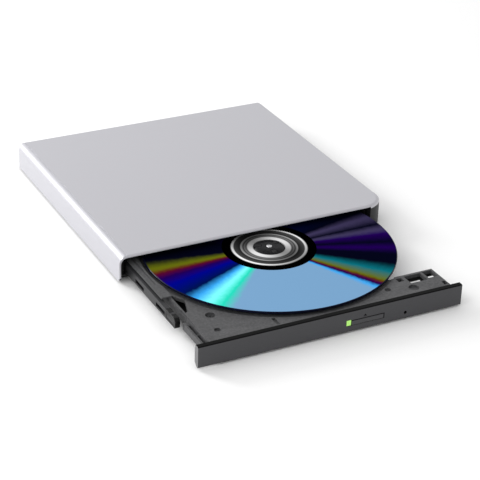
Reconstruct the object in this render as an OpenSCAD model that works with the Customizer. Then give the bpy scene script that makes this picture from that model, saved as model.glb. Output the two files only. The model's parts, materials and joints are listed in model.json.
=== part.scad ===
// Slim external optical drive, millimetres.
// The origin is on the surface that the object stands on, under the middle of the
// housing. +X is the user's right, -Y is the front where the tray comes out, +Z is up.
// The tray is drawn partly open, with a disc on its spindle.

/* [Housing] */
// Width of the housing
body_w = 144; // [140:1:150]
// Depth of the housing, front face to back
body_d = 137.5; // [134:0.5:142]
// Height above the table, the rubber band included
body_h = 14; // [14:0.5:16]
// Height of the rubber band below the case
foot_h = 1; // [0.6:0.1:1.2]
// Radius of the long top edges of the cover
edge_r = 4; // [3:0.5:5]
// Radius of the front right corner, seen from above
corner_r = 14; // [10:1:15]
// Thickness of the cover's top
cover_t = 1.1; // [0.8:0.1:1.2]
// Thickness of the cover's side walls
wall_t = 0.8; // [0.6:0.1:1]
// Thickness of the bottom case's floor
floor_t = 1.2; // [1:0.1:1.2]

/* [Tray] */
// How far the tray is drawn out at rest
tray_out = 81; // [60:1:100]
// Width of the front bezel
bezel_w = 131.4; // [130:0.1:131.6]
// Height of the front bezel
bezel_h = 10.3; // [10:0.1:10.4]
// Thickness of the front bezel
bezel_t = 3.2; // [3:0.1:3.4]
// Left end of the front bezel
bezel_x = -70.6; // [-70.7:0.1:-70.4]
// Depth of the tray behind the bezel's face
tray_len = 127; // [124:0.5:128]
// Level of the tray's top face
tray_z = 8; // [7.8:0.1:8.1]

/* [Disc] */
// Diameter of the disc
disc_d = 120; // [120]
// Diameter of the disc's centre hole
disc_hole = 15; // [15]
// Thickness of the disc
disc_t = 1.2; // [1.2]
// Level of the disc's underside
disc_z = 8.55; // [8.5:0.05:8.6]
// Sideways place of the spindle axis
disc_x = -1; // [-1.5:0.1:-0.5]
// Spindle axis behind the bezel's face
disc_b = 69.5; // [69:0.1:70]

/* [Rails] */
// Length of the sliding rails
rail_len = 118; // [112:1:120]
// Front end of the left rail behind the bezel's face, at rest
rail_b = 31; // [30:1:34]
// Height of the left rail
rail_h = 4.8; // [4.6:0.1:4.8]

/* [Deck] */
// Angle of the pickup's travel, from straight ahead towards the left
deck_turn = 40; // [38:1:42]
// Distance of the lens from the spindle axis at rest
lens_r = 32; // [28:1:40]
// Radius of the guide rods
rod_r = 1; // [0.9:0.1:1]
// Radial play of a shaft or rod in its bore
play = 0.05; // [0.02:0.01:0.08]

/* [Hidden] */
$fn = 48;
e = 0.01;

front_y = -body_d / 2;
side_x = body_w / 2;
case_z = foot_h;
inner_z = case_z + floor_t;
roof_z = body_h - cover_t;
fascia_x = bezel_x + bezel_w + 0.5;
fascia_top = roof_z - 0.9;
back_in = body_d / 2 - wall_t;

frame_x0 = -69.4;
frame_x1 = 60.6;
frame_y0 = front_y + 4.3;
frame_y1 = frame_y0 + 126;
frame_top = 11.3;
steel = 0.4;

screw_spots = [[66, -44], [66, -12], [-60, 64.7], [-10, 64.7]];
foot_x = 61;
foot_y = 59;
foot_w = 3.5;

tray_y = front_y - tray_out;
tray_x0 = -62;
tray_x1 = 36.5;
shelf_b = 23.3;
shelf_x1 = 59.4;
shelf_z = 6;
recess_r = disc_d / 2 + 1.4;
recess_z = 7.2;
pan_z = 2.95;
skirt_z = pan_z + steel;

disc_y = tray_y + disc_b;
rod_z = 4.85;
main_x = -13;
side_rod_x = 14;
screw_x = -17.4;
screw_far = -59.6;
deck_z = 3.8;
deck_t = 0.8;
lens_min = 24;
side_rod_r = 0.75;
side_rod_z = 4.4;
deck_out = -63;
sled_end = -58.4;
damper_spots = [[-14, 11.5], [2, -60.8], [14, 11.5]];
pan_spots = [[-57, 8], [33, 30], [-57, 122], [32, 122]];

rail_z = 3;
rail_out_x = -67.4;
right_rail_out = 41.4;
right_rail_h = 4;
right_rail_b = 51;
right_rail_len = rail_len - 20;
right_guide_y = front_y + shelf_b + 1;
latch_b = 21;
latch_x = 34;
latch_free = 18;

board_t = 1;
board_z = 4;
usb_x = 65.2;

// A box given by its lowest corner and its size.
module block(x, y, z, w, d, h) translate([x, y, z]) cube([w, d, h]);

// An upright cylinder at a place.
module post(x, y, z, h, r) translate([x, y, z]) cylinder(h = h, r = r);

// A rectangle with round corners about the origin, given by its half sizes.
module rounded(hx, hy, r) union() {
    translate([-hx + r, -hy]) square([2 * (hx - r), 2 * hy]);
    translate([-hx, -hy + r]) square([2 * hx, 2 * (hy - r)]);
    for (a = [-1, 1], b = [-1, 1]) translate([a * (hx - r), b * (hy - r)]) circle(r = r);
}

// Moves children from "behind the bezel's face" to where the tray is drawn.
module in_tray() translate([0, tray_y, 0]) children();

// Moves children to the spindle axis, with -Y along the pickup's travel.
module in_deck() translate([disc_x, disc_y, 0]) rotate([0, 0, -deck_turn]) children();

// A shaft along Y between two places.
module shaft_y(x, y0, y1, z, r) translate([x, y1, z]) rotate([90, 0, 0]) cylinder(h = y1 - y0, r = r);

// ---------- housing ----------

// Outline of the housing seen from above, drawn in by a margin.
module plan(m = 0, back_r = 2) {
    cr = corner_r - m;
    br = max(back_r - m, 0.2);
    x1 = side_x - m;
    y1 = body_d / 2 - m;
    y0 = front_y + m;
    union() {
        translate([-x1, y0]) square([2 * x1 - cr, 2 * y1 - br]);
        translate([x1 - cr, y0 + cr]) square([cr, 2 * y1 - cr - br]);
        translate([-x1 + br, y1 - br - e]) square([2 * x1 - 2 * br, br + e]);
        translate([x1 - cr, y0 + cr]) circle(r = cr, $fn = 96);
        for (s = [-1, 1]) translate([s * (x1 - br), y1 - br]) circle(r = br);
    }
}

// Cross-section of the cover across its width, drawn in by a margin.
module arch(m, top, low) {
    r = max(edge_r - m, 0.5);
    w = side_x - m;
    union() {
        translate([-w, low]) square([2 * w, top - low - r]);
        translate([-w + r, low]) square([2 * (w - r), top - low]);
        for (s = [-1, 1]) translate([s * (w - r), top - r]) circle(r = r, $fn = 64);
    }
}

module arch_block(m, top, low, y0, y1)
    translate([0, y1, 0]) rotate([90, 0, 0]) linear_extrude(height = y1 - y0) arch(m, top, low);

module top_cover() {
    color([0.78, 0.78, 0.80])
    difference() {
        union() {
            difference() {
                intersection() {
                    arch_block(0, body_h, case_z, front_y, body_d / 2);
                    linear_extrude(height = body_h + 1) plan();
                }
                intersection() {
                    arch_block(wall_t, roof_z, case_z - 1, front_y - 1, back_in);
                    union() {
                        linear_extrude(height = body_h) plan(wall_t);
                        block(-side_x + wall_t, front_y - 1, 0, fascia_x + side_x - wall_t, 20, body_h);
                    }
                }
                // the dark corner post stands below this lip
                block(fascia_x, front_y - 1, case_z - 1, 30, corner_r + 2, fascia_top - case_z + 1);
            }
            for (p = screw_spots) post(p[0], p[1], inner_z + 0.1, roof_z - inner_z, 2.4);
        }
        for (p = screw_spots) post(p[0], p[1], inner_z, 7, 0.85);
        block(usb_x - 4.3, back_in - 1, board_z + board_t - 0.2, 8.6, 4, 4.4);
        // thin line along each long edge where the flat top ends
        for (s = [-1, 1])
            block(s * (side_x - edge_r) - 0.2, front_y - 1, body_h - 0.12, 0.4, body_d + 2, 1);
    }
}

module bottom_case() {
    color([0.10, 0.10, 0.11])
    difference() {
        union() {
            // floor plate, drawn back behind the bezel
            intersection() {
                translate([0, 0, case_z]) linear_extrude(height = floor_t) plan(wall_t + 0.15);
                block(-side_x, front_y + 4, 0, body_w, body_d, 5);
            }
            // upright lip that the cover closes over
            intersection() {
                difference() {
                    translate([0, 0, case_z]) linear_extrude(height = 3) plan(wall_t + 0.15);
                    translate([0, 0, case_z - 1]) linear_extrude(height = 5) plan(wall_t + 0.85);
                }
                block(-side_x, front_y + 18, 0, body_w, body_d - 22, 6);
            }
            // corner post at the right of the tray opening
            intersection() {
                translate([0, 0, case_z]) linear_extrude(height = fascia_top - case_z - 0.05) plan();
                block(fascia_x, front_y - 1, 0, 30, corner_r + 1.95, 20);
            }
            // stands for the bridge board
            for (y = [28, 50]) post(64.5, y, inner_z - e, board_z - inner_z + e, 1.6);
            post(30, 64.8, inner_z - e, board_z - inner_z + e, 1.4);
        }
        // the corner post is a shell
        intersection() {
            translate([0, 0, inner_z]) linear_extrude(height = 20) plan(1.4);
            block(fascia_x + 1.4, front_y, 0, 30, 30, fascia_top - 1.4);
        }
        for (p = screw_spots) {
            post(p[0], p[1], case_z - 1, 5, 1.15);
            post(p[0], p[1], case_z - 1, 1.8, 2.05);
        }
        // groove for the rubber band
        difference() {
            linear_extrude(height = case_z + 0.5) rounded(foot_x + 0.2, foot_y + 0.2, 8.2);
            linear_extrude(height = 5) rounded(foot_x - foot_w - 0.2, foot_y - foot_w - 0.2, 7.8 - foot_w);
        }
        // shallow blank panel for a rating label
        block(-30, -30, case_z - 1, 60, 40, 1.2);
        // vent slots under the electronics
        for (i = [0 : 5]) block(48, 12 + 5 * i, case_z - 1, 6, 1.6, 4);
    }
}

// A soft band laid in a groove round the underside, which the object stands on.
module rubber_foot() {
    color([0.16, 0.16, 0.17])
    difference() {
        linear_extrude(height = foot_h + 0.5) rounded(foot_x, foot_y, 8);
        translate([0, 0, -1]) linear_extrude(height = 5) rounded(foot_x - foot_w, foot_y - foot_w, 8 - foot_w);
    }
}

module case_screws() {
    color([0.30, 0.30, 0.32])
    for (p = screw_spots) translate([p[0], p[1], 0]) difference() {
        union() {
            post(0, 0, case_z + 0.1, 0.7, 1.9);
            post(0, 0, case_z + 0.7, 5.8, 0.8);
        }
        for (a = [0, 90]) rotate([0, 0, a]) block(-1, -0.22, case_z, 2, 0.44, 0.5);
    }
}

// ---------- inner drive ----------

module drive_frame() {
    w = frame_x1 - frame_x0;
    d = frame_y1 - frame_y0;
    color([0.55, 0.56, 0.58])
    difference() {
        union() {
            block(frame_x0, frame_y0, inner_z, w, d, steel);
            for (x = [frame_x0, frame_x1 - 0.5]) block(x, frame_y0, inner_z, 0.5, d, frame_top - inner_z);
            block(frame_x0, frame_y1 - 0.5, inner_z, w, 0.5, frame_top - inner_z);
        }
        // lightening windows and the opening for the rear connector
        for (x = [-52, -30]) block(x, 10, inner_z - 1, 14, 30, 3);
        block(14, frame_y1 - 1, 5, 22, 2, 4.6);
        for (y = [-40, 0, 40]) post(50, y, inner_z - 1, 3, 3);
    }
}

module drive_lid() {
    w = frame_x1 - frame_x0;
    d = frame_y1 - frame_y0;
    color([0.60, 0.61, 0.63])
    difference() {
        union() {
            block(frame_x0 + 0.7, frame_y0 + 0.2, frame_top + 0.1, w - 1.4, d - 0.9, 0.5);
            for (x = [frame_x0 + 0.6, frame_x1 - 1])
                block(x, frame_y0 + 6, frame_top - 1.9, 0.4, d - 12, 2.4);
        }
        for (x = [-40, 30]) post(x, 46, frame_top - 1, 3, 2);
    }
}

// Fixed channel that the left rail slides in.
module left_guide() {
    color([0.14, 0.14, 0.15])
    union() {
        block(-68.7, frame_y0 + 0.6, inner_z + steel, 0.8, 121, 6.3);
        block(-68.7, frame_y0 + 0.6, rail_z + rail_h + 0.35, 2.2, 118, 0.75);
        block(-68.7, frame_y0 + 120, inner_z + steel, 2, 2, 5);
    }
}

// Fixed channel that the right rail slides in, low enough to pass under the disc
// and far enough back to leave room for the tray's shelf.
module right_guide() {
    len = frame_y1 - 6 - right_guide_y;
    z = inner_z + steel;
    color([0.14, 0.14, 0.15])
    union() {
        block(right_rail_out + 0.4, right_guide_y, z, 1, len, 5.4);
        block(right_rail_out - 0.6, right_guide_y, rail_z + right_rail_h + 0.35, 2, len, 0.65);
        block(right_rail_out + 1.3, right_guide_y, z, 17, 2, 3);
        for (y = [-10, 20, 50]) block(right_rail_out + 1.3, y, z, 6, 6, 2);
    }
}

// Steel post on the frame that the latch hook holds when the tray is shut.
module latch_post() {
    color([0.75, 0.75, 0.77])
    union() {
        post(37.9, front_y + 12.7, inner_z + steel, 1.7, 0.6);
        post(37.9, front_y + 12.7, inner_z + steel, 0.3, 0.8);
    }
}

module flex_cable() {
    color([0.75, 0.62, 0.38])
    union() {
        block(0, -6, inner_z + steel, 14, frame_y1 + 3, 0.12);
        block(14 - e, frame_y1 - 9, inner_z + steel, 8, 6, 0.12);
    }
}

module bridge_board() {
    color([0.10, 0.32, 0.20])
    difference() {
        union() {
            block(61, 20, board_z, 9.6, back_in - 20.2, board_t);
            block(14, frame_y1 + 0.4, board_z, 48, back_in - frame_y1 - 0.6, board_t);
        }
        for (y = [28, 50]) post(64.5, y, board_z - 1, 3, 0.9);
        post(30, 64.8, board_z - 1, 3, 0.8);
    }
}

module bridge_chips() {
    z = board_z + board_t;
    color([0.12, 0.12, 0.13])
    union() {
        block(62.6, 35, z, 6, 6, 0.9);
        block(63, 22.5, z, 4, 3, 0.9);
        block(68, 44, z, 2, 3.2, 1.2);
        for (i = [0 : 4]) block(61.8 + 1.7 * i, 32, z, 1, 0.6, 0.5);
        for (i = [0 : 4]) block(38 + 3.6 * i, 64.2, z, 1.2, 0.7, 0.5);
    }
}

module usb_socket() {
    z = board_z + board_t;
    color([0.78, 0.79, 0.80])
    difference() {
        block(usb_x - 3.9, back_in - 8, z, 7.8, 8.6, 3.9);
        block(usb_x - 3.5, back_in - 6.6, z + 0.4, 7, 9, 3.1);
        // the lower corners of the mouth narrow
        for (s = [-1, 1]) block(usb_x + s * 3.7 - 0.35, back_in - 1, z - 1, 0.7, 4, 1.5);
    }
}

module usb_tongue() {
    z = board_z + board_t;
    color([0.08, 0.08, 0.09])
    union() {
        block(usb_x - 3.5, back_in - 6.6, z + 0.4, 7, 1.2, 3.1);
        block(usb_x - 2.4, back_in - 5.6, z + 1.6, 4.8, 4.8, 0.8);
    }
}

module drive_connector() {
    color([0.10, 0.10, 0.11])
    difference() {
        block(15, frame_y1 - 2.4, board_z + board_t, 20, 4, 4.2);
        block(16.5, frame_y1 - 3, 6.4, 17, 4, 1.6);
    }
}

// ---------- rails ----------

// Channel rail, open to the inside. side is -1 for the left rail, 1 for the right.
module channel(side, out_x, y, len, h, lip) {
    web = 0.8;
    reach = 2.3;
    x = side < 0 ? out_x : out_x - reach;
    block(side < 0 ? x : x + reach - web, y, rail_z, web, len, h);
    for (z = [rail_z, rail_z + h - lip]) block(x, y, z, reach, len, lip);
}

// Stop in the mouth of a rail, with the cap over its front end.
module rail_stop(side, out_x, y, len, h, lip) {
    web = 0.8;
    reach = 2.3;
    block(side < 0 ? out_x + web : out_x - reach, y, rail_z + lip, reach - web, len, h - 2 * lip);
    block(side < 0 ? out_x : out_x - reach, y - 1.2, rail_z, reach, 1.2, h);
}

module left_rail() {
    y = tray_y + rail_b;
    color([0.36, 0.36, 0.37])
    difference() {
        channel(-1, rail_out_x, y, rail_len, rail_h, 0.6);
        // windows through the outer face
        for (b = [10, 33, 60, 84]) block(rail_out_x - 1, y + b, rail_z + 0.9, 1.9, 9.5, 1.9);
    }
}

module left_rail_stop() {
    color([0.08, 0.08, 0.09])
    rail_stop(-1, rail_out_x, tray_y + rail_b, 9, rail_h, 0.6);
}

module right_rail() {
    color([0.36, 0.36, 0.37])
    channel(1, right_rail_out, tray_y + right_rail_b, right_rail_len, right_rail_h, 0.5);
}

module right_rail_stop() {
    color([0.08, 0.08, 0.09])
    rail_stop(1, right_rail_out, tray_y + right_rail_b, 6, right_rail_h, 0.5);
}

// ---------- tray ----------

// Window through the tray's floor over the deck.
module deck_window(z, h) in_deck() translate([0, 0, z]) linear_extrude(height = h) union() {
    translate([-20.4, -52]) square([37.4, 52]);
    translate([-7, -57.2]) square([14, 20]);
    circle(r = 18);
    translate([-20.4, 0]) square([20, 15]);
}

module tray() {
    color([0.40, 0.40, 0.41])
    in_tray() difference() {
        union() {
            // front shelf behind the bezel
            block(tray_x0, bezel_t, shelf_z, shelf_x1 - tray_x0, shelf_b - bezel_t, tray_z - shelf_z);
            // main plate beside and behind the spindle
            block(tray_x0, shelf_b - e, 6.2, tray_x1 - tray_x0, tray_len - shelf_b, tray_z - 6.2);
            // skirts that stand on the pan
            block(tray_x0, bezel_t, skirt_z, 1, tray_len - bezel_t, tray_z - skirt_z);
            block(tray_x1 - 1, shelf_b + 2, skirt_z, 1, tray_len - shelf_b - 2, tray_z - skirt_z);
            block(tray_x0, tray_len - 1, skirt_z, tray_x1 - tray_x0, 1, tray_z - skirt_z);
            // flanges that run in the sliding rails
            block(-66.2, 57, 4.7, 4.3, tray_len - 57, 1.6);
            block(tray_x1 - e, 74, 4.6, 3.7, tray_len - 74, 1.3);
            // raised rim along the left side
            block(-66, 47.5, tray_z + 0.15, 5, tray_len - 47.5, 0.85);
            block(tray_x0, 47.5, tray_z - 0.2, 1, tray_len - 47.5, 0.5);
            // low side rib between the bezel and the rail's end
            block(-64.6, bezel_t, 3.1, 1.1, 25, 3.3);
            block(-63.6, bezel_t, 3.1, 1.7, 25, 0.8);
            for (b = [8, 17, 26]) block(-63.6, b, 3.1, 1.7, 1, 2.6);
            // ribs under the overhanging shelf
            block(44, bezel_t, 3.6, 0.9, 9, shelf_z - 3.6 + e);
            block(58, bezel_t, 3.6, 1, 12, shelf_z - 3.6 + e);
            for (p = pan_spots) post(p[0], p[1], skirt_z, 3, 1.5);
        }
        // recess for the disc, and the shallower one for small discs
        post(disc_x, disc_b, recess_z, 5, recess_r);
        post(disc_x, disc_b, recess_z - 0.35, 5, 41);
        translate([0, -tray_y, 0]) deck_window(skirt_z - 1, 7.5 - skirt_z + 1);
        for (p = pan_spots) post(p[0], p[1], skirt_z - 1, 3.6, 0.72);
        // long slot and triangular opening beside the recess
        block(-63.9, 60, tray_z + 0.5, 0.8, 28, 2);
        translate([0, 0, 4]) linear_extrude(height = 6)
            polygon([[-61, 50], [-56.5, 43.5], [-59.5, 34], [-61, 33]]);
        // openings in the shelf's right end
        block(39, 18.6, 6.4, 3, 3, 3);
        block(43.6, 15.4, 5, 8.8, 6.6, 4);
        block(53.6, 16.4, 5, 4.8, 6, 4);
        block(57, 8.2, 6.4, 2.6, 3, 3);
        post(42.7, 11.6, 6.8, 3, 2.5);
        for (x = [-54.5, 30.7]) post(x, 14.6, 6.9, 3, 1.5);
        post(-52, 27, 6.6, 3, 2.3);
        block(-29.2, 8, 7.0, 1.8, 5.5, 3);
        // groove between the shelf and the side rib
        block(-62.6, 10, 6.9, 0.9, 26, 3);
        // slots for the eject parts behind the bezel
        block(-4, bezel_t - 1, 5, 24, 3, 2.1);
    }
}

// Cross-section of the bezel, front to back: the lower edge is cut away.
module bezel() {
    z0 = 0.9;
    z1 = z0 + bezel_h;
    color([0.20, 0.20, 0.21])
    in_tray() difference() {
        translate([bezel_x, 0, 0]) rotate([90, 0, 90]) linear_extrude(height = bezel_w)
            polygon([[0, z0 + 0.3], [0.3, z0], [1.4, z0], [bezel_t, z0 + 1.8], [bezel_t, z1 - 1.6],
                     [2.5, z1], [0.4, z1], [0, z1 - 0.4]]);
        // hollow back
        block(bezel_x + 1.4, 2, z0 + 2.4, 57, 3, 2.2);
        block(24, 2, z0 + 2.4, 34, 3, 2.2);
        // mouth of the button, the light and the emergency release
        block(3.5, -1, 3.75, 16.5, 6, 2.45);
        block(1, -1, 3.8, 2.5 + e, 6, 2.9);
        translate([31.2, -1, 3.9]) rotate([-90, 0, 0]) cylinder(h = 6, r = 0.75);
    }
}

module tray_pan() {
    color([0.62, 0.63, 0.65])
    in_tray() difference() {
        union() {
            block(tray_x0 + 0.2, 5, pan_z, tray_x1 - tray_x0 - 0.4, tray_len - 5, steel);
            block(tray_x0 + 1.2, 5, pan_z, tray_x1 - tray_x0 - 2.4, 0.4, 0.7);
        }
        for (b = [96, 102, 108, 114]) block(-40, b, pan_z - 1, 30, 2, 3);
        for (p = pan_spots) post(p[0], p[1], pan_z - 1, 3, 0.9);
    }
}

module pan_screws() {
    color([0.35, 0.35, 0.37])
    in_tray() for (p = pan_spots) translate([p[0], p[1], 0]) difference() {
        union() {
            post(0, 0, pan_z - 0.15, 0.15, 1.3);
            post(0, 0, pan_z - e, 2.2, 0.7);
        }
        block(-0.9, -0.15, pan_z - 1, 1.8, 0.3, 0.9);
    }
}

module status_light() {
    color([0.45, 0.85, 0.30])
    in_tray() block(1.1, 0.1, 3.9, 2.3, 4.2, 2.7);
}

module front_board() {
    color([0.10, 0.32, 0.20])
    in_tray() block(-8, 4.5, 3.7, 34, 2.6, 0.8);
}

module eject_switch() {
    color([0.80, 0.80, 0.78])
    in_tray() union() {
        block(9, 5, 4.5, 4.5, 2.1, 0.9);
        block(10.4, 4.5, 4.6, 1.7, 0.5, 0.7);
    }
}

module tray_board() {
    color([0.10, 0.32, 0.20])
    in_tray() difference() {
        block(-54, 95, 3.7, 83, 28, 0.8);
        for (x = [-51, 26]) post(x, 98, 3, 3, 1);
    }
}

module tray_chips() {
    color([0.12, 0.12, 0.13])
    in_tray() union() {
        block(-30, 100, 4.5, 12, 12, 1);
        block(-8, 104, 4.5, 7, 7, 0.9);
        block(10, 98, 4.5, 9, 5, 0.9);
        block(-50, 104, 4.5, 5, 6, 1.1);
        for (i = [0 : 6]) block(-16 + 5 * i, 117, 4.5, 1.6, 0.8, 0.6);
    }
}

module solenoid() {
    color([0.72, 0.45, 0.22])
    in_tray() union() {
        translate([15.6, 15.4, 4.5]) rotate([0, 90, 0]) cylinder(h = 7, r = 0.95);
        for (x = [14.8, 22.6]) block(x, 14.2, 3.4, 0.8, 2.4, 2.1);
    }
}

// The latch turns on this pin, under the shelf.
module latch_pivot() {
    color([0.75, 0.75, 0.77])
    in_tray() post(latch_x, latch_b, skirt_z, shelf_z - skirt_z, 0.8);
}

// Drawn at its catching angle, then turned back to where it lets the tray go.
module latch_lever() {
    color([0.22, 0.22, 0.24])
    in_tray() translate([latch_x, latch_b, 3.7]) rotate([0, 0, -latch_free]) difference() {
        union() {
            cylinder(h = 0.7, r = 1.9);
            // hook, the tab that a pin through the bezel pushes, and the solenoid's arm
            linear_extrude(height = 0.7)
                polygon([[0, 1.6], [1.6, -0.3], [3, -5.4], [5, -6.2], [5, -7.3], [1.6, -7.3], [0.3, -5.2],
                         [-0.2, -12], [-3.6, -12], [-3.6, -11], [-1.6, -3.4], [-9.6, -4.4], [-9.6, -2.2]]);
        }
        translate([0, 0, -1]) cylinder(h = 3, r = 0.8 + play);
    }
}

module eject_button() {
    color([0.22, 0.22, 0.23])
    in_tray() union() {
        block(3.7, -0.1, 3.95, 16.1, 2.5, 2.05);
        block(9.9, 2.3, 4.5, 2.6, 1.3, 1);
    }
}

// ---------- deck ----------

module deck_frame() {
    color([0.50, 0.51, 0.53])
    in_deck() difference() {
        union() {
            block(-21.5, deck_out, deck_z, 39, 14.4 - deck_out, deck_t);
            post(0, 0, deck_z, deck_t, 17);
            // rod holders, outer and inner
            for (y = [sled_end - 3, -15.8]) {
                block(main_x - 1.9, y, deck_z, 3.8, 3, 2.2);
                block(side_rod_x - 1.4, y, deck_z, 2.8, 3, 1.9);
            }
            // bearings of the lead screw; the motor hangs on the inner one
            block(screw_x - 1.7, sled_end - 2, deck_z, 3.4, 2, 2.1);
            block(screw_x - 1.9, -22.4, deck_z, 3.8, 1, 2.2);
        }
        // the carriage's way, with the inner bearing left standing
        difference() {
            block(-19.2, sled_end, deck_z - 1, 34.6, -16 - sled_end, 5);
            block(-20, -22.4, deck_z - 2, 4.5, 1, 9);
        }
        block(-20, -21.4, deck_z - 1, 4.9, 8.4, 5);
        shaft_y(main_x, deck_out - 1, -11, rod_z, rod_r);
        shaft_y(side_rod_x, deck_out - 1, -11, side_rod_z, side_rod_r);
        shaft_y(screw_x, screw_far - 0.4, -46, rod_z, 0.6 + play);
        shaft_y(screw_x, -23, -20, rod_z, 0.8 + play);
        for (p = damper_spots) post(p[0], p[1], deck_z - 1, 3, 1.1);
    }
}

module deck_dampers() {
    color([0.15, 0.15, 0.16])
    in_deck() for (p = damper_spots) translate([p[0], p[1], 0]) difference() {
        union() {
            post(0, 0, skirt_z, deck_z - skirt_z, 2.2);
            post(0, 0, skirt_z, deck_z - skirt_z + deck_t + 0.6, 1.1);
        }
        post(0, 0, skirt_z - 1, 6, 0.5);
    }
}

module main_rod() {
    color([0.80, 0.80, 0.82])
    in_deck() shaft_y(main_x, sled_end - 2.9, -12.8, rod_z, rod_r);
}

module side_rod() {
    color([0.80, 0.80, 0.82])
    in_deck() shaft_y(side_rod_x, sled_end - 2.9, -12.8, side_rod_z, side_rod_r);
}

// Small stepper at the inner end of the lead screw, flat underneath and on top.
module sled_motor() {
    color([0.66, 0.67, 0.69])
    in_deck() difference() {
        intersection() {
            shaft_y(screw_x, -21.4, -13.4, rod_z, 2.2);
            block(screw_x - 2.4, -22, 3.65, 4.8, 10, 3.1);
        }
        shaft_y(screw_x, -22, -16, rod_z, 0.8 + play);
    }
}

module lead_screw() {
    color([0.72, 0.66, 0.45])
    in_deck() difference() {
        union() {
            shaft_y(screw_x, sled_end + 0.4, -22.8, rod_z, 1);
            shaft_y(screw_x, screw_far, sled_end + 0.5, rod_z, 0.6);
            shaft_y(screw_x, -22.9, -16.4, rod_z, 0.8);
        }
        // worm grooves, drawn as rings
        for (i = [0 : 15])
            translate([screw_x, -25 - 2 * i, rod_z]) rotate([90, 0, 0]) rotate_extrude()
                translate([0.8, 0]) square([1, 0.6]);
    }
}

// Carriage of the lens; it clips round the main rod and rests on the side rod.
module pickup_sled() {
    color([0.48, 0.49, 0.51])
    in_deck() translate([0, -lens_r, 0]) difference() {
        union() {
            block(main_x - 1.8, -4, 3.65, 12.4 - main_x + 1.8, 11.5, 2.05);
            block(11.5, -2, side_rod_z + side_rod_r + play, 3.6, 7, 0.5);
            // tooth that follows the screw
            block(screw_x + 1.4, -3, 4.2, 1.4, 3, 1.2);
        }
        shaft_y(main_x, -10, 12, rod_z, rod_r + play);
        // clearance for the turntable, and the actuator's well
        post(0, lens_min, 3, 6, 15.2);
        block(-5.5, -3.2, 4.6, 11, 8.7, 3);
    }
}

module pickup_lens() {
    color([0.55, 0.60, 0.72])
    in_deck() translate([0, -lens_r, 0]) union() {
        difference() {
            block(-5, -2.7, 4.6, 10, 7.7, 2.4);
            post(0, 0, 6.2, 2, 2.2);
        }
        translate([0, 0, 6.2]) rotate_extrude()
            polygon([[0, 0], [2.1, 0], [2.1, 0.5], [1.6, 0.8], [0.9, 1], [0, 1.08]]);
    }
}

module spindle_motor() {
    color([0.60, 0.61, 0.63])
    translate([disc_x, disc_y, 0]) difference() {
        union() {
            post(0, 0, deck_z + deck_t, 0.5, 11.5);
            post(0, 0, deck_z + deck_t, 2.1, 2.4);
            difference() {
                post(0, 0, 5, 1.5, 9.2);
                post(0, 0, 4.9, 3, 3.2);
            }
        }
        post(0, 0, deck_z + deck_t - 1, 5, 1 + play);
    }
}

// Rotor cup, shaft and the table that carries the disc.
module turntable() {
    color([0.24, 0.24, 0.26])
    translate([disc_x, disc_y, 0]) rotate_extrude($fn = 96) polygon([
        [0, 4.9], [1, 4.9], [1, 7], [10.2, 7], [10.2, 5.5], [11, 5.5], [11, 7.2], [14.2, 7.4],
        [14.2, 8.1], [7.2, 8.1], [7.2, disc_z - 0.05], [0, disc_z - 0.05]]);
}

module hub_pad() {
    color([0.12, 0.12, 0.13])
    translate([disc_x, disc_y, 0]) difference() {
        post(0, 0, 8.1, disc_z - 8.1, 13.9);
        post(0, 0, 8, 1, 10.6);
    }
}

module hub() {
    z = disc_z - 0.05;
    color([0.13, 0.13, 0.14])
    translate([disc_x, disc_y, 0]) difference() {
        rotate_extrude($fn = 96) polygon([
            [0, z], [7.2, z], [7.2, z + 1.1], [6.4, z + 1.7], [3, z + 1.9], [1.6, z + 1.9], [1.6, z + 1.2], [0, z + 1.2]]);
        for (a = [30, 150, 270]) rotate([0, 0, a]) block(3.6, -1.3, z + 0.5, 5, 2.6, 3);
    }
}

// Three sprung claws that grip the disc's hole.
module hub_claws() {
    z = disc_z;
    color([0.20, 0.20, 0.21])
    translate([disc_x, disc_y, 0]) for (a = [30, 150, 270]) rotate([0, 0, a])
        translate([3.8, 1.1, 0]) rotate([90, 0, 0]) linear_extrude(height = 2.2)
            polygon([[0, z + 0.5], [3.2, z + 0.5], [3.6, z + 1], [3.4, z + 1.45], [2.2, z + 1.75], [0, z + 1.75]]);
}

module hub_cap() {
    z = disc_z + 1.15;
    color([0.88, 0.88, 0.90])
    translate([disc_x, disc_y, 0]) rotate_extrude()
        polygon([[0, z], [1.4, z], [1.4, z + 0.75], [1.1, z + 1], [0, z + 1.05]]);
}

module disc() {
    color([0.45, 0.60, 0.85])
    translate([disc_x, disc_y, 0]) rotate_extrude($fn = 180) polygon([
        [disc_hole / 2, disc_z], [16.5, disc_z], [16.8, disc_z - 0.2], [17.4, disc_z - 0.2], [17.7, disc_z],
        [disc_d / 2 - 0.15, disc_z], [disc_d / 2, disc_z + 0.15], [disc_d / 2, disc_z + disc_t - 0.15],
        [disc_d / 2 - 0.15, disc_z + disc_t], [disc_hole / 2, disc_z + disc_t]]);
}

top_cover();
bottom_case();
rubber_foot();
case_screws();
drive_frame();
drive_lid();
left_guide();
right_guide();
latch_post();
flex_cable();
bridge_board();
bridge_chips();
usb_socket();
usb_tongue();
drive_connector();
left_rail();
left_rail_stop();
right_rail();
right_rail_stop();
tray();
bezel();
tray_pan();
pan_screws();
status_light();
front_board();
eject_switch();
tray_board();
tray_chips();
solenoid();
latch_pivot();
deck_frame();
deck_dampers();
main_rod();
side_rod();
sled_motor();
spindle_motor();
eject_button();
latch_lever();
lead_screw();
pickup_sled();
pickup_lens();
turntable();
hub_pad();
hub();
hub_claws();
hub_cap();
disc();
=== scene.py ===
"""A slim external optical drive with its tray half out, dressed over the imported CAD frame."""
import colorsys
import json
import math

import bmesh
import bpy
from mathutils import Matrix, Vector


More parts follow.
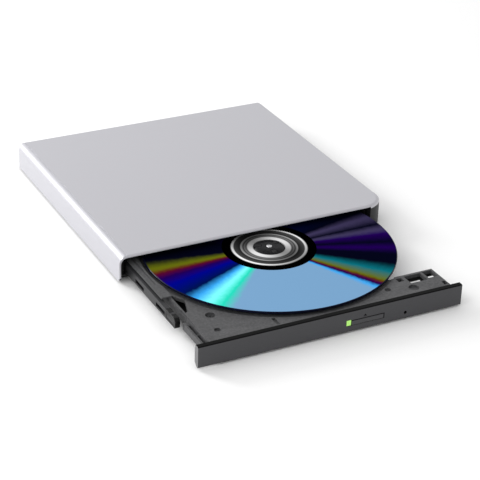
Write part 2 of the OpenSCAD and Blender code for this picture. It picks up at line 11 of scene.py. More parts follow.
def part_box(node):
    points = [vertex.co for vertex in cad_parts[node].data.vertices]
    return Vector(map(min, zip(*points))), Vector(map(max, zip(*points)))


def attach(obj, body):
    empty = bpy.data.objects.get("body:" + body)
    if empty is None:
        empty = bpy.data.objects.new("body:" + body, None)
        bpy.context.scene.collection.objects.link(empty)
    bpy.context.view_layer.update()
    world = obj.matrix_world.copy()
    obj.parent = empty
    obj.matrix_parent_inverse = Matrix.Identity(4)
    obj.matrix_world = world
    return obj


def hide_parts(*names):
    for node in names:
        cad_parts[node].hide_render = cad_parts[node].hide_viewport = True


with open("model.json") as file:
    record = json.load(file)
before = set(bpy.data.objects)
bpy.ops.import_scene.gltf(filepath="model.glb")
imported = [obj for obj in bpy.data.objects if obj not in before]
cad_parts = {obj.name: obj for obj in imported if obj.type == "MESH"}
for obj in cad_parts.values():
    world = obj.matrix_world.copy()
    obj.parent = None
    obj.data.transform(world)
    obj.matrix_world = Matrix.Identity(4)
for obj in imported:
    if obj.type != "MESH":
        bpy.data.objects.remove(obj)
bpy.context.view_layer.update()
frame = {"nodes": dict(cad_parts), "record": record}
NODES = frame["nodes"]
BODIES = frame["record"]["behaviour"]["bodies"]
SLOTS = {part["node"]: part["material_slot"] for part in frame["record"]["subparts"]}
MM = 0.001

# ---------- places taken from the frame, in millimetres ----------


def box_mm(node):
    low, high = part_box(node)
    return Vector(low) / MM, Vector(high) / MM


COVER_LOW, COVER_HIGH = box_mm("top_cover")
BEZEL_LOW, BEZEL_HIGH = box_mm("bezel")
DISC_LOW, DISC_HIGH = box_mm("disc")
BUTTON_LOW, BUTTON_HIGH = box_mm("eject_button")
DISC_AT = (DISC_LOW + DISC_HIGH) / 2
DISC_R = (DISC_HIGH.x - DISC_LOW.x) / 2
DISC_TOP = DISC_HIGH.z

# the cover's roundings and sheet
EDGE_R = 4.0
LIP_R = 1.2
CORNER_R = 14.0
BACK_R = 2.4
WALL_END_R = 2.6
WALL = 0.8
ROOF_Z = COVER_HIGH.z - 1.1
COVER_SHADE_ANGLE = 25

# middle of the rounding at the cover's front right corner
TURN_X = COVER_HIGH.x - CORNER_R
TURN_Y = COVER_LOW.y + CORNER_R

# the corner post beside the mouth: its top, and its inner side
FASCIA_TOP = ROOF_Z - 0.9
FASCIA_X = BEZEL_HIGH.x + 0.5

# the disc's clear middle ends here, and its coloured film here
CLEAR_R = 22.6
FILM_R = 59.2


# ---------- materials ----------


def grainy(name, color, rough, metal=0.0, spec=0.5, grain=0.04, size=2500.0, bump=0.0, coat=0.0):
    """A surface whose colour and roughness vary a little on a fine grain."""
    mat = bpy.data.materials.new(name)
    mat.use_nodes = True
    tree = mat.node_tree
    shader = tree.nodes["Principled BSDF"]
    shader.inputs["Metallic"].default_value = metal
    shader.inputs["Specular IOR Level"].default_value = spec
    shader.inputs["Coat Weight"].default_value = coat
    shader.inputs["Coat Roughness"].default_value = 0.22
    place = tree.nodes.new("ShaderNodeTexCoord")
    noise = tree.nodes.new("ShaderNodeTexNoise")
    noise.inputs["Scale"].default_value = size
    noise.inputs["Detail"].default_value = 3.0
    tree.links.new(place.outputs["Object"], noise.inputs["Vector"])
    ramp = tree.nodes.new("ShaderNodeValToRGB")
    ramp.color_ramp.elements[0].position = 0.3
    ramp.color_ramp.elements[1].position = 0.7
    ramp.color_ramp.elements[0].color = [c * (1 - grain) for c in color] + [1]
    ramp.color_ramp.elements[1].color = [min(1, c * (1 + grain)) for c in color] + [1]
    tree.links.new(noise.outputs["Fac"], ramp.inputs["Fac"])
    tree.links.new(ramp.outputs["Color"], shader.inputs["Base Color"])
    span = tree.nodes.new("ShaderNodeMapRange")
    span.inputs["To Min"].default_value = max(0.02, rough - 0.05)
    span.inputs["To Max"].default_value = rough + 0.05
    tree.links.new(noise.outputs["Fac"], span.inputs["Value"])
    tree.links.new(span.outputs["Result"], shader.inputs["Roughness"])
    if bump:
        relief = tree.nodes.new("ShaderNodeBump")
        relief.inputs["Strength"].default_value = bump
        relief.inputs["Distance"].default_value = 0.02 * MM
        tree.links.new(noise.outputs["Fac"], relief.inputs["Height"])
        tree.links.new(relief.outputs["Normal"], shader.inputs["Normal"])
    return mat


def about_axis(tree, center):
    """X and Y of the shaded point from an upright axis, in metres."""
    place = tree.nodes.new("ShaderNodeTexCoord")
    shift = tree.nodes.new("ShaderNodeMapping")
    shift.inputs["Location"].default_value = (-center.x * MM, -center.y * MM, 0)
    tree.links.new(place.outputs["Object"], shift.inputs["Vector"])
    split = tree.nodes.new("ShaderNodeSeparateXYZ")
    tree.links.new(shift.outputs["Vector"], split.inputs["Vector"])
    return split.outputs["X"], split.outputs["Y"]


def math_node(tree, operation, *inputs):
    node = tree.nodes.new("ShaderNodeMath")
    node.operation = operation
    for i, value in enumerate(inputs):
        if isinstance(value, (int, float)):
            node.inputs[i].default_value = value
        else:
            tree.links.new(value, node.inputs[i])
    return node.outputs[0]


def display(level):
    """A display level from 0 to 1 as linear light."""
    return level ** 2.2


def tint(hue, saturation, value):
    """A hue round the colour wheel, from 0 to 1, as a linear colour."""
    return [display(channel) for channel in colorsys.hsv_to_rgb(hue, saturation, value)]


# Colours of a written disc's dye and of its sheen, a painted rainbow reflection, listed one by one.
INK = tint(0.65, 0.6, 0.12)
PALE = tint(0.58, 0.4, 0.78)
MINT = tint(0.47, 0.85, 0.85)
AQUA = tint(0.5, 0.5, 1.0)
SKY = tint(0.57, 0.75, 0.95)
NAVY = tint(0.62, 0.95, 0.3)
ROYAL = tint(0.65, 1.0, 0.52)
VIOLET = tint(0.74, 1.0, 0.32)
BRICK = tint(0.97, 0.8, 0.35)
OLIVE = tint(0.18, 0.8, 0.42)
TEAL = tint(0.52, 0.85, 0.48)
DUSK = tint(0.7, 0.35, 0.36)

# Where each colour of the dye and the painted sheen stands round the disc: bearing in degrees, straight
# ahead at -90.
# One list for each half. The spectra on the two sides run in mirrored order.
# painted shadow: from -210 to -190, by the cover's edge, the disc is kept dark where the cover's shade
# falls
DYE_AND_PAINTED_SHEEN_LEFT = [
    (-270, INK), (-240, VIOLET), (-210, INK), (-190, INK), (-182, OLIVE), (-178, BRICK),
    (-173, VIOLET), (-166, ROYAL), (-156, NAVY), (-150, SKY), (-144, AQUA), (-138, MINT),
    (-132, PALE), (-100, PALE),
]
DYE_AND_PAINTED_SHEEN_RIGHT = [
    (-100, PALE), (-66, PALE), (-63, SKY), (-60.5, VIOLET), (-58, BRICK), (-56, OLIVE),
    (-48, TEAL), (-40, INK), (-30, INK), (-24, VIOLET), (-18, INK), (-10, VIOLET),
    (-5, DUSK), (0, INK), (8, DUSK), (14, INK), (60, NAVY), (90, INK),
]


def ramp_of(tree, share, stops):
    """A colour ramp driven by a share from 0 to 1. stops are (share, linear colour)."""
    ramp = tree.nodes.new("ShaderNodeValToRGB")
    points = ramp.color_ramp.elements
    while len(points) < len(stops):
        points.new(0.5)
    for point, (where, color) in zip(points, stops):
        point.position = where
        point.color = color + [1]
    tree.links.new(share, ramp.inputs["Fac"])
    return ramp.outputs["Color"]


def matte(name):
    """A new material with no sheen of its own, its tree and its shader."""
    mat = bpy.data.materials.new(name)
    mat.use_nodes = True
    shader = mat.node_tree.nodes["Principled BSDF"]
    shader.inputs["Roughness"].default_value = 0.3
    shader.inputs["Specular IOR Level"].default_value = 0.0
    return mat, mat.node_tree, shader


def disc_dye_and_painted_sheen():
    """Dye and mirror layer with a painted rainbow reflection: bands of colour set by bearing that fan out
    from the hole.
    """
    mat, tree, shader = matte("disc_dye_and_painted_sheen")
    x, y = about_axis(tree, DISC_AT)
    # zero straight ahead, so that the seam of the bearing lies at the back
    bearing = math_node(tree, "ARCTAN2", x, math_node(tree, "MULTIPLY", y, -1.0))
    wave = tree.nodes.new("ShaderNodeTexNoise")
    wave.inputs["Scale"].default_value = 60.0
    swing = math_node(tree, "SUBTRACT", wave.outputs["Fac"], 0.5)
    wobble = math_node(tree, "MULTIPLY", swing, 0.006)
    share = math_node(tree, "MULTIPLY_ADD", bearing, 1 / (2 * math.pi), 0.5)
    share = math_node(tree, "ADD", share, wobble)
    halves = []
    for play in (DYE_AND_PAINTED_SHEEN_LEFT, DYE_AND_PAINTED_SHEEN_RIGHT):
        stops = [((deg + 90) / 360 + 0.5, color) for deg, color in play]
        halves.append(ramp_of(tree, share, stops))
    mix = tree.nodes.new("ShaderNodeMix")
    mix.data_type = "RGBA"
    tree.links.new(math_node(tree, "GREATER_THAN", share, 0.48), mix.inputs["Factor"])
    tree.links.new(halves[0], mix.inputs["A"])
    tree.links.new(halves[1], mix.inputs["B"])
    tree.links.new(mix.outputs["Result"], shader.inputs["Base Color"])
    return mat


# Rings of the disc's clear middle: distance from its centre in millimetres, and display level; the levels
# are partly the rings' own tone and partly painted highlight and shade.
RINGS = [
    (7.5, 0.6), (8.0, 0.85), (10.0, 0.85), (10.7, 0.3), (11.7, 0.45), (12.2, 0.2), (13.3, 0.65),
    (13.8, 0.17), (16.6, 0.3), (17.0, 0.9), (17.7, 0.95), (18.2, 0.1), (18.6, 0.02), (CLEAR_R, 0.01),
]


def clamp_ring():
    """Clear middle of the disc: bright and dark rings by radius, with a painted highlight on two opposite
    sides.
    """
    mat, tree, shader = matte("clamp_ring")
    x, y = about_axis(tree, DISC_AT)
    across = math_node(tree, "MULTIPLY", x, x)
    radius = math_node(tree, "SQRT", math_node(tree, "MULTIPLY_ADD", y, y, across))
    share = math_node(tree, "MULTIPLY", radius, 1 / (CLEAR_R * MM))
    stops = [(r / CLEAR_R, [display(level)] * 3) for r, level in RINGS]
    color = ramp_of(tree, share, stops)
    # painted highlight: the ring colours are brightened on two opposite sides, turned by 30 degrees
    bearing = math_node(tree, "ARCTAN2", y, x)
    turned = math_node(tree, "MULTIPLY_ADD", bearing, 2.0, -2 * math.radians(30))
    painted_highlight = math_node(tree, "MULTIPLY_ADD", math_node(tree, "COSINE", turned), 0.38, 0.72)
    lit = tree.nodes.new("ShaderNodeVectorMath")
    lit.operation = "SCALE"
    tree.links.new(color, lit.inputs[0])
    tree.links.new(painted_highlight, lit.inputs["Scale"])
    tree.links.new(lit.outputs["Vector"], shader.inputs["Base Color"])
    return mat


SILVER = grainy("silver_paint", (0.512, 0.508, 0.544), 0.42, metal=0.25, grain=0.02, size=4000, coat=0.35)
COVER_INSIDE = grainy("cover_inside", (0.010, 0.010, 0.011), 0.7, spec=0.2)
FINISHES = {
    "cover_silver": SILVER,
    "case_black": grainy("case_black", (0.012, 0.012, 0.013), 0.5, spec=0.35, bump=0.1),
    "foot_rubber": grainy("foot_rubber", (0.02, 0.02, 0.02), 0.8, spec=0.2),
    # painted shade: the steel sheet parts are near-black because they sit unlit inside the drive
    "sheet_steel": grainy("sheet_steel_painted_shade", (0.012, 0.012, 0.013), 0.5, spec=0.15),
    "black_plastic": grainy("black_plastic", (0.008, 0.008, 0.009), 0.4, spec=0.25),
    "bright_steel": grainy("bright_steel", (0.7, 0.7, 0.71), 0.25, metal=1.0),
    "screw_steel": grainy("screw_steel", (0.08, 0.08, 0.085), 0.35, metal=0.8),
    "flex_amber": grainy("flex_amber", (0.35, 0.2, 0.05), 0.3),
    "board_green": grainy("board_green", (0.015, 0.1, 0.05), 0.35),
    "chip_black": grainy("chip_black", (0.01, 0.01, 0.011), 0.4),
    "rail_grey": grainy("rail_grey", (0.022, 0.022, 0.024), 0.36, spec=0.28),
    "tray_grey": grainy("tray_grey", (0.080, 0.080, 0.083), 0.5, spec=0.25, grain=0.25, size=900, bump=0.4),
    "bezel_grey": grainy("bezel_grey", (0.066, 0.066, 0.070), 0.4, spec=0.15, bump=0.08),
    "button_grey": grainy("button_grey", (0.074, 0.074, 0.078), 0.4, spec=0.15),
    "switch_white": grainy("switch_white", (0.6, 0.6, 0.56), 0.4),
    "coil_copper": grainy("coil_copper", (0.5, 0.2, 0.07), 0.35, metal=0.9),
    "deck_metal": grainy("deck_metal", (0.35, 0.36, 0.38), 0.4, metal=0.8),
    "screw_brass": grainy("screw_brass", (0.5, 0.4, 0.18), 0.3, metal=0.9),
    "lens_glass": grainy("lens_glass", (0.25, 0.35, 0.6), 0.12, spec=0.8),
    "hub_grey": grainy("hub_grey", (0.008, 0.008, 0.009), 0.35, spec=0.12, grain=0.8, size=1400, bump=0.8),
}
LIGHT_GREEN = grainy("light_green", (0.34, 0.66, 0.14), 0.35)
GLOW = LIGHT_GREEN.node_tree.nodes["Principled BSDF"].inputs
GLOW["Emission Color"].default_value = (0.36, 0.72, 0.15, 1)
GLOW["Emission Strength"].default_value = 0.45
FINISHES["light_green"] = LIGHT_GREEN
DISC_DYE_AND_PAINTED_SHEEN = disc_dye_and_painted_sheen()
CLAMP_RING = clamp_ring()
DISC_RIM = grainy("disc_rim", (0.006, 0.007, 0.022), 0.25, spec=0.06)
# the disc's slot gets the dye together with its painted rainbow reflection
FINISHES["disc_dye"] = DISC_DYE_AND_PAINTED_SHEEN
# near-black for painted shade and dark reflection on the bezel, in the shelf's openings and along the
# button's seam; also the eject sign's print
PAINTED_SHADE_AND_PRINT_BLACK = grainy("painted_shade_and_print_black", (0.006, 0.006, 0.006), 0.35, spec=0.03)
NOSE_BLACK = grainy("nose_black", (0.004, 0.004, 0.004), 0.25, spec=0.15)
# painted reflection: pale grey for the white floor reflected in the bezel's glossy left end
CHEEK_PAINTED_REFLECTION = grainy("bezel_cheek_painted_reflection", (0.15, 0.15, 0.155), 0.4)


# ---------- mesh helpers ----------


def link_piece(name, mesh, materials):
    """Puts a mesh in the scene under a name, with its materials."""
    piece = bpy.data.objects.new(name, mesh)
    bpy.context.scene.collection.objects.link(piece)
    for material in materials:
        mesh.materials.append(material)
    return piece


def add_piece(name, mesh, node, materials):
    """Stands a new mesh in for a CAD node, on that node's body."""
    piece = link_piece(name, mesh, materials)
    body = next(b for b, members in BODIES.items() if node in members)
    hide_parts(node)
    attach(piece, body)
    return piece


def break_edges(piece, width, angle):
    """Bevels the edges sharper than an angle, width in mm."""
    edge = piece.modifiers.new("edge", "BEVEL")
    edge.width = width * MM
    edge.segments = 2
    edge.limit_method = "ANGLE"
    edge.angle_limit = math.radians(angle)


def mesh_from(bm, name, angle=32):
    """Closes a bmesh into a mesh in metres that shades smoothly below an angle."""
    bmesh.ops.recalc_face_normals(bm, faces=bm.faces)
    for face in bm.faces:
        face.smooth = True
    mesh = bpy.data.meshes.new(name)
    bm.to_mesh(mesh)
    bm.free()
    mesh.set_sharp_from_angle(angle=math.radians(angle))
    return mesh


def softened(node, width, name=None, materials=None):
    """A copy of a CAD node with its sharp edges broken by a small bevel, width in mm."""
    angle = 40
    bm = bmesh.new()
    bm.from_mesh(NODES[node].data)
    bmesh.ops.remove_doubles(bm, verts=bm.verts, dist=0.002 * MM)
    bmesh.ops.dissolve_limit(bm, angle_limit=math.radians(1), verts=bm.verts, edges=bm.edges)
    mesh = mesh_from(bm, node + "_mesh", angle)
    piece = add_piece(name or node + "_shell", mesh, node, materials or [FINISHES[SLOTS[node]]])
    break_edges(piece, width, angle)
    return piece


def carve(piece, cutters):
    """Cuts closed meshes out of a piece and keeps the result as its mesh."""
    tools = []
    for i, mesh in enumerate(cutters):
        tool = bpy.data.objects.new(f"cutter_{i}", mesh)
        bpy.context.scene.collection.objects.link(tool)
        tools.append(tool)
        step = piece.modifiers.new(f"cut_{i}", "BOOLEAN")
        step.operation = "DIFFERENCE"
        step.solver = "MANIFOLD"
        step.object = tool
    bpy.context.view_layer.update()
    evaluated = piece.evaluated_get(bpy.context.evaluated_depsgraph_get())
    mesh = bpy.data.meshes.new_from_object(evaluated)
    piece.modifiers.clear()
    piece.data = mesh
    for tool in tools:
        bpy.data.objects.remove(tool)
    return piece


def prism(points, axis, start, end, name):
    """Closed prism of a 2-D outline in mm. axis is the letter that it runs along."""
    order = {"X": (2, 0, 1), "Y": (0, 2, 1), "Z": (0, 1, 2)}[axis]
    bm = bmesh.new()
    ends = []
    for level in (start, end):
        ring = []
        for a, b in points:
            triple = (a, b, level)
            ring.append(bm.verts.new(Vector([triple[i] for i in order]) * MM))
        ends.append(ring)
    bm.faces.new(ends[0])
    bm.faces.new(reversed(ends[1]))
    for i in range(len(points)):
        j = (i + 1) % len(points)
        bm.faces.new((ends[0][i], ends[1][i], ends[1][j], ends[0][j]))
    return mesh_from(bm, name)


def lathe(profile, center, name, steps):
    """Turns a closed profile of (radius, z) in mm about an upright axis."""
    bm = bmesh.new()
    rings = []
    for r, z in profile:
        ring = []
        for i in range(steps):
            a = 2 * math.pi * i / steps
            at = Vector((center.x + r * math.cos(a), center.y + r * math.sin(a), z))
            ring.append(bm.verts.new(at * MM))
        rings.append(ring)
    count = len(rings)
    for k in range(count):
        low, high = rings[k], rings[(k + 1) % count]
        for i in range(steps):
            j = (i + 1) % steps
            bm.faces.new((low[i], low[j], high[j], high[i]))
    return mesh_from(bm, name)


def arc(cx, cy, r, start, end, steps):
    """Points on an arc, angles in degrees."""
    return [(cx + r * math.cos(math.radians(start + (end - start) * i / steps)),
             cy + r * math.sin(math.radians(start + (end - start) * i / steps))) for i in range(steps + 1)]


# ---------- cover ----------


def inset_at(z, radius):
    """How far a rounded top edge has drawn in at a height."""
    low = COVER_HIGH.z - radius
    if z <= low:
        return 0.0
    return radius - math.sqrt(max(0.0, radius * radius - (z - low) ** 2))


def cover_ring(z):
    """Outline of the cover at one height: long sides round widely, the ends only a little."""
    side, end = inset_at(z, EDGE_R), inset_at(z, LIP_R)
    points = [(COVER_LOW.x + side, COVER_LOW.y + end)]
    for i in range(25):
        a = math.radians(-90 + 90 * i / 24)
        share = i / 24
        radius = LIP_R + (EDGE_R - LIP_R) * share * share
        reach = CORNER_R - inset_at(z, radius)
        points.append((TURN_X + reach * math.cos(a), TURN_Y + reach * math.sin(a)))
    # the two back corners
    across, along = max(0.3, BACK_R - side), max(0.3, BACK_R - end)
    for hand in (1, -1):
        middle_x = hand * (COVER_HIGH.x - side - across)
        middle_y = COVER_HIGH.y - end - along
        for i in range(9):
            a = math.radians(90 * i / 8 if hand > 0 else 90 + 90 * i / 8)
            points.append((middle_x + across * math.cos(a), middle_y + along * math.sin(a)))
    # a point on the straight left side, clear of the back corner
    points.append((COVER_LOW.x + side, COVER_HIGH.y - BACK_R - 2))
    return points


def cover_levels():
    top = COVER_HIGH.z
    levels = {COVER_LOW.z}
    for radius in (EDGE_R, LIP_R):
        for i in range(13):
            levels.add(round(top - radius + radius * math.sin(math.radians(90 * i / 12)), 4))
    return sorted(levels)


def cover_solid():
    """The cover's outer form as one closed solid, before it is hollowed."""
    bm = bmesh.new()
    rings = []
    for z in cover_levels():
        rings.append([bm.verts.new(Vector((x, y, z)) * MM) for x, y in cover_ring(z)])
    count = len(rings[0])
    for low, high in zip(rings, rings[1:]):
        for i in range(count):
            j = (i + 1) % count
            bm.faces.new((low[i], low[j], high[j], high[i]))
    bm.faces.new(reversed(rings[0]))
    bm.faces.new(rings[-1])
    # upright edges that are still square are broken a little
    square = []
    for edge in bm.edges:
        rise = abs(edge.verts[0].co.z - edge.verts[1].co.z)
        if rise > 1e-6 and edge.calc_face_angle(0) > 1.0:
            square.append(edge)
    bmesh.ops.bevel(
        bm, geom=square, offset=0.5 * MM, segments=3, profile=0.5, affect="EDGES", clamp_overlap=True
    )
    return mesh_from(bm, "cover_mesh", COVER_SHADE_ANGLE)


def rectangle(x0, x1, z0, z1):
    return [(x0, z0), (x1, z0), (x1, z1), (x0, z1)]


def cover_hollow_cuts():
    """The space under the cover, its mouth, and the place of the corner post."""
    inner_x = COVER_HIGH.x - WALL
    inner_y = COVER_HIGH.y - WALL
    r = EDGE_R - WALL
    below = -5
    left_round = arc(-inner_x + r, ROOF_Z - r, r, 90, 180, 8)
    right_round = arc(inner_x - r, ROOF_Z - r, r, 0, 90, 8)
    mouth = [(-inner_x, below), (FASCIA_X, below), (FASCIA_X, ROOF_Z)] + left_round
    hollow = [(-inner_x, below), (inner_x, below)] + right_round + left_round
    front = prism(mouth, "Y", COVER_LOW.y - 5, COVER_LOW.y + 20, "front_cut")
    hollow_long = prism(hollow, "Y", COVER_LOW.y + CORNER_R + 2, inner_y, "hollow_cut")
    # room for the corner post: right through the wall, and behind it along the bend
    corner = rectangle(FASCIA_X, COVER_HIGH.x + 2, COVER_LOW.y - 2, TURN_Y + 1)
    lip = prism(corner, "Z", -1, FASCIA_TOP, "lip_cut")
    bend = [(FASCIA_X - 1, COVER_LOW.y + WALL + 0.2)]
    bend += arc(TURN_X, TURN_Y, CORNER_R - WALL, -68, 0, 10)
    bend += [(inner_x, TURN_Y + 6), (FASCIA_X - 1, TURN_Y + 6)]
    under = prism(bend, "Z", -1, FASCIA_TOP, "bend_cut")
    return [front, hollow_long, lip, under]


def cover_detail_cuts():
    """The left wall's round toe, the thin line along the top, and the socket's opening."""
    toe_y, toe_z = COVER_LOW.y + WALL_END_R, COVER_LOW.z + WALL_END_R
    toe = [(COVER_LOW.y - 1, COVER_LOW.z - 1), (toe_y, COVER_LOW.z - 1)]
    toe += arc(toe_y, toe_z, WALL_END_R, 270, 180, 8) + [(COVER_LOW.y - 1, toe_z)]
    toe_cut = prism(toe, "X", COVER_LOW.x - 1, COVER_LOW.x + WALL + 0.5, "toe_cut")
    # the line runs where the flat top meets the left edge's rounding
    line_x, line_z = COVER_LOW.x + EDGE_R, COVER_HIGH.z
    line = [(line_x - 0.25, line_z + 1), (line_x - 0.25, line_z - 0.2)]
    line += [(line_x + 0.2, line_z - 0.2), (line_x + 0.2, line_z + 1)]
    groove = prism(line, "Y", COVER_LOW.y - 1, COVER_HIGH.y + 1, "groove_cut")
    port_low, port_high = box_mm("usb_socket")
    port = rectangle(port_low.x - 0.5, port_high.x + 0.5, port_low.z - 0.3, port_high.z + 0.3)
    port_cut = prism(port, "Y", COVER_HIGH.y - WALL - 1, COVER_HIGH.y + 1, "port_cut")
    return [toe_cut, groove, port_cut]


def is_cover_inside(face):
    """Whether a face of the hollowed cover lies on its dark inside."""
    at = face.center / MM
    deep = COVER_LOW.x + 0.4 < at.x < COVER_HIGH.x - 0.4 and at.z < COVER_HIGH.z - 0.9
    deep = deep and COVER_LOW.y + 0.25 < at.y < COVER_HIGH.y - 0.4
    faces_up = face.normal.z > 0.2
    back_corner = abs(at.x) > COVER_HIGH.x - BACK_R and at.y > COVER_HIGH.y - BACK_R
    from_turn = math.hypot(at.x - TURN_X, at.y - TURN_Y)
    on_bend = at.x > TURN_X and at.y < TURN_Y and from_turn > CORNER_R - 0.4
    return deep and not faces_up and not back_corner and not on_bend


def build_cover():
    cover = add_piece("cover_shell", cover_solid(), "top_cover", [SILVER, COVER_INSIDE])
    carve(cover, cover_hollow_cuts() + cover_detail_cuts())
    for face in cover.data.polygons:
        if is_cover_inside(face):
            face.material_index = 1
        face.use_smooth = True
    cover.data.set_sharp_from_angle(angle=math.radians(COVER_SHADE_ANGLE))


# ---------- disc ----------


def build_disc():
    """The disc, with the raised stacking ring in its clear middle."""
    z, low = DISC_TOP, DISC_LOW.z + 0.2
    ring_z = z + 0.12
    top = [(7.5, z - 0.1), (7.6, z), (16.5, z), (16.8, ring_z), (17.7, ring_z), (18.0, z), (22.3, z)]
    top += [(r, z) for r in (CLEAR_R, 26, 34, 42, 50, 58.6, 59.7)]
    edge = [(DISC_R, z - 0.25), (DISC_R, low + 0.25), (59.7, low)]
    bottom = [(CLEAR_R, low), (7.5, low)]
    mesh = lathe(top + edge + bottom, DISC_AT, "disc_mesh", steps=192)
    add_piece("disc_shell", mesh, "disc", [DISC_DYE_AND_PAINTED_SHEEN, CLAMP_RING, DISC_RIM])
    for face in mesh.polygons:
        at = face.center / MM - DISC_AT
        r = math.hypot(at.x, at.y)
        if r < CLEAR_R - 0.2:
            face.material_index = 1
        elif r > FILM_R:
            face.material_index = 2


# ---------- tray front and rail end ----------


def build_bezel():
    """The front plate, with painted light: a near-black top band for the dark reflection there, a pale left
    end for the reflected floor, and near-black openings and underside for their shade.
    """
    piece = softened("bezel", 0.25, "front_plate", [FINISHES["bezel_grey"], PAINTED_SHADE_AND_PRINT_BLACK, CHEEK_PAINTED_REFLECTION])
    for face in piece.data.polygons:
        x = face.center.x / MM - BEZEL_LOW.x
        # painted reflection: faces looking up are near-black for the dark reflection on the top band
        if face.normal.z > 0.6:
            face.material_index = 1
        # painted reflection: the left end face is pale grey
        elif face.normal.x < -0.8 and x < 0.3:
            face.material_index = 2
        # painted shade: past the first 5 mm, faces that do not look forward are near-black, darkening the
        # walls inside the openings
        elif face.normal.y > -0.5 and x > 5:
            face.material_index = 1
        # painted shade: faces looking down are near-black
        elif face.normal.z < -0.3:
            face.material_index = 1


def build_rail_nose():
    """Black end fitting that wraps the front of the left rail, notched on top."""
    rail_low, rail_high = box_mm("left_rail")
    proud, length = 0.06, 10.5
    front = box_mm("left_rail_stop")[0].y - 0.05
    x0, x1 = rail_low.x - proud, rail_high.x + proud
    z0, z1 = rail_low.z - proud, rail_high.z + proud
    side = [(front, z0 + 0.7), (front + 0.7, z0), (front + length, z0), (front + length, z1)]
    side += [(front + 6.4, z1), (front + 6.0, z1 - 0.7), (front + 5.2, z1 - 0.7), (front + 4.8, z1)]
    side += [(front + 1.2, z1), (front, z1 - 1.2)]
    mesh = prism(side, "X", x0, x1, "rail_nose_mesh")
    piece = add_piece("rail_nose", mesh, "left_rail_stop", [NOSE_BLACK])
    # a hollow along the outer face
    hollow = rectangle(front + 1.6, front + 9, z0 + 1.5, z0 + 2.7)
    carve(piece, [prism(hollow, "X", x0 - 1, x0 + 0.5, "nose_cut")])
    break_edges(piece, 0.2, 30)


def build_recess_screw():
    """Screw head that sits at the bottom of the recess in the tray's left corner."""
    at = Vector((-52.0, BEZEL_LOW.y + 27.0, 0))
    head = [(1.35, 6.62), (1.35, 6.9), (1.0, 7.2), (0.5, 7.25), (0.4, 7.0), (0.05, 7.0), (0.05, 6.62)]
    mesh = lathe(head, at, "recess_screw_mesh", steps=32)
    piece = link_piece("recess_screw", mesh, [FINISHES["rail_grey"]])
    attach(piece, "tray_assembly")


def build_shelf_shade_plates_and_wall():
    """Near-black plates of painted shade inside the openings at the right end of the tray's shelf, and its
    edge wall.
    """
    floor_z, pocket_z, thin = 6.05, 6.42, 0.15
    wall_x = 59.0
    # left, right, then front and back counted from the bezel's face, then bottom and height
    # painted shade: all but the last are thin near-black plates at the floors of the openings; the last is
    # the edge wall
    painted_shade_plates_and_wall = [
        (43.65, 45.3, 15.45, 21.95, floor_z, thin),
        (50.6, 52.35, 15.45, 21.95, floor_z, thin),
        (45.3, 50.6, 19.3, 21.95, floor_z, thin),
        (53.65, 58.35, 20.3, 22.35, floor_z, thin),
        (39.05, 41.95, 18.65, 21.55, pocket_z, thin),
        (57.05, 58.9, 8.25, 11.15, pocket_z, thin),
        (wall_x, 59.38, 8.15, 11.25, 6.1, 1.88),
    ]
    bm = bmesh.new()
    for x0, x1, b0, b1, z, height in painted_shade_plates_and_wall:
        plan = rectangle(x0, x1, b0, b1)
        corners = [(x, BEZEL_LOW.y + b, z + lift) for lift in (0, height) for x, b in plan]
        verts = [bm.verts.new(Vector(corner) * MM) for corner in corners]
        for ring in ((0, 3, 2, 1), (4, 5, 6, 7), (0, 1, 5, 4), (1, 2, 6, 5), (2, 3, 7, 6), (3, 0, 4, 7)):
            bm.faces.new([verts[i] for i in ring])
    mesh = mesh_from(bm, "shelf_ledges_mesh")
    piece = link_piece("shelf_shade_plates_and_wall", mesh, [PAINTED_SHADE_AND_PRINT_BLACK, FINISHES["tray_grey"]])
    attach(piece, "tray_assembly")
    for face in mesh.polygons:
        face.material_index = 1 if face.center.x / MM > wall_x - 0.05 else 0


def build_eject_sign():
    """The usual eject sign over the button, a triangle above a bar, and near-black strips of painted shade
    along the button's seam.
    """
    y = BEZEL_LOW.y - 0.02
    x, z = (BUTTON_LOW.x + BUTTON_HIGH.x) / 2 - 1.4, BUTTON_HIGH.z + 1.1
    left, right = BUTTON_LOW.x - 0.2 - x, BUTTON_HIGH.x + 0.15 - x
    low, high = BUTTON_LOW.z - 0.2 - z, BUTTON_HIGH.z + 0.15 - z
    seam = 0.3
    outlines = [
        [(-0.75, 0.35), (0.75, 0.35), (0, 1.15)],
        rectangle(-0.75, 0.75, -0.1, 0.15),
        # painted shade: strips above and to the right of the button stand in for the shadow in its seam
        rectangle(left, right + seam, high, high + seam),
        rectangle(right, right + seam, low, high - 0.02),
    ]
    bm = bmesh.new()
    for outline in outlines:
        bm.faces.new([bm.verts.new(Vector((x + a, y, z + b)) * MM) for a, b in outline])
    result = bmesh.ops.extrude_face_region(bm, geom=list(bm.faces))
    moved = [v for v in result["geom"] if isinstance(v, bmesh.types.BMVert)]
    bmesh.ops.translate(bm, verts=moved, vec=(0, 0.03 * MM, 0))
    mesh = mesh_from(bm, "eject_sign_mesh")
    piece = link_piece("eject_sign", mesh, [PAINTED_SHADE_AND_PRINT_BLACK])
    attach(piece, "tray_assembly")


# ---------- stage ----------


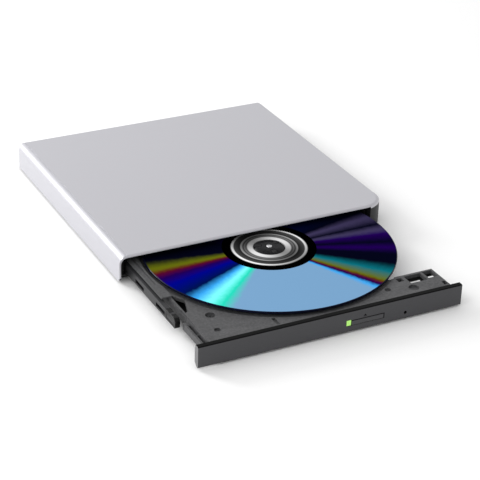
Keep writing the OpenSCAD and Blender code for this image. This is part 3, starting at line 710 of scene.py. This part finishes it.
def build_stage():
    bm = bmesh.new()
    corners = [(-3, -3), (3, -3), (3, 3), (-3, 3)]
    bm.faces.new([bm.verts.new((x, y, 0)) for x, y in corners])
    floor = bpy.data.objects.new("floor", mesh_from(bm, "floor_mesh"))
    bpy.context.scene.collection.objects.link(floor)
    paint = bpy.data.materials.new("floor_white")
    paint.use_nodes = True
    shader = paint.node_tree.nodes["Principled BSDF"]
    shader.inputs["Base Color"].default_value = (0.99, 0.99, 0.99, 1)
    shader.inputs["Roughness"].default_value = 0.9
    shader.inputs["Specular IOR Level"].default_value = 0.1
    floor.data.materials.append(paint)
    world = bpy.data.worlds.new("studio")
    world.use_nodes = True
    world.node_tree.nodes["Background"].inputs["Color"].default_value = (1, 1, 1, 1)
    world.node_tree.nodes["Background"].inputs["Strength"].default_value = 0.74
    bpy.context.scene.world = world


def softbox(name, at, target, size, power):
    light = bpy.data.lights.new(name, "AREA")
    light.shape = "RECTANGLE"
    light.size, light.size_y = size
    light.energy = power
    lamp = bpy.data.objects.new(name, light)
    bpy.context.scene.collection.objects.link(lamp)
    lamp.location = at
    lamp.rotation_euler = (Vector(target) - Vector(at)).to_track_quat("-Z", "Y").to_euler()
    return lamp


def build_camera():
    """A long lens from the front left, a little above, tipped by a degree or two."""
    azimuth, elevation, roll = math.radians(-27.40), math.radians(27.74), math.radians(1.674)
    target = Vector((-7.87, -63.69, 7.0)) * MM
    distance = 756.6 * MM
    level = math.cos(elevation)
    back = Vector((math.sin(azimuth) * level, -math.cos(azimuth) * level, math.sin(elevation)))
    right = Vector((math.cos(azimuth), math.sin(azimuth), 0))
    up = back.cross(right)
    x_axis = right * math.cos(roll) + up * math.sin(roll)
    y_axis = up * math.cos(roll) - right * math.sin(roll)
    place = Matrix((x_axis, y_axis, back)).transposed().to_4x4()
    place.translation = target + back * distance
    data = bpy.data.cameras.new("camera")
    data.sensor_width = 36
    data.lens = 119.31
    camera = bpy.data.objects.new("camera", data)
    camera.matrix_world = place
    bpy.context.scene.collection.objects.link(camera)
    bpy.context.scene.camera = camera


# ---------- putting it together ----------

SOFT = {
    "tray": 0.12, "bottom_case": 0.2, "left_rail": 0.12, "right_rail": 0.12,
    "right_rail_stop": 0.12, "left_guide": 0.08, "eject_button": 0.1, "status_light": 0.12,
    "hub": 0.06, "hub_claws": 0.08, "hub_cap": 0.1, "turntable": 0.08, "usb_socket": 0.08,
}

for node, piece in NODES.items():
    piece.data.materials.clear()
    piece.data.materials.append(FINISHES[SLOTS[node]])
for node, width in SOFT.items():
    softened(node, width)
build_cover()
build_disc()
build_bezel()
build_rail_nose()
build_recess_screw()
build_shelf_shade_plates_and_wall()
build_eject_sign()
build_stage()
softbox("left_box", (-0.75, -0.25, 0.45), (0, 0, 0), (0.9, 0.5), 2.5)
softbox("back_box", (-0.45, 0.9, 0.95), (0, 0, 0), (0.8, 0.5), 2)
softbox("edge_box", (-0.52, 0.72, 0.42), (-0.07, 0, 0.01), (0.35, 0.3), 4.5)
build_camera()
bpy.context.scene.view_settings.view_transform = "Standard"
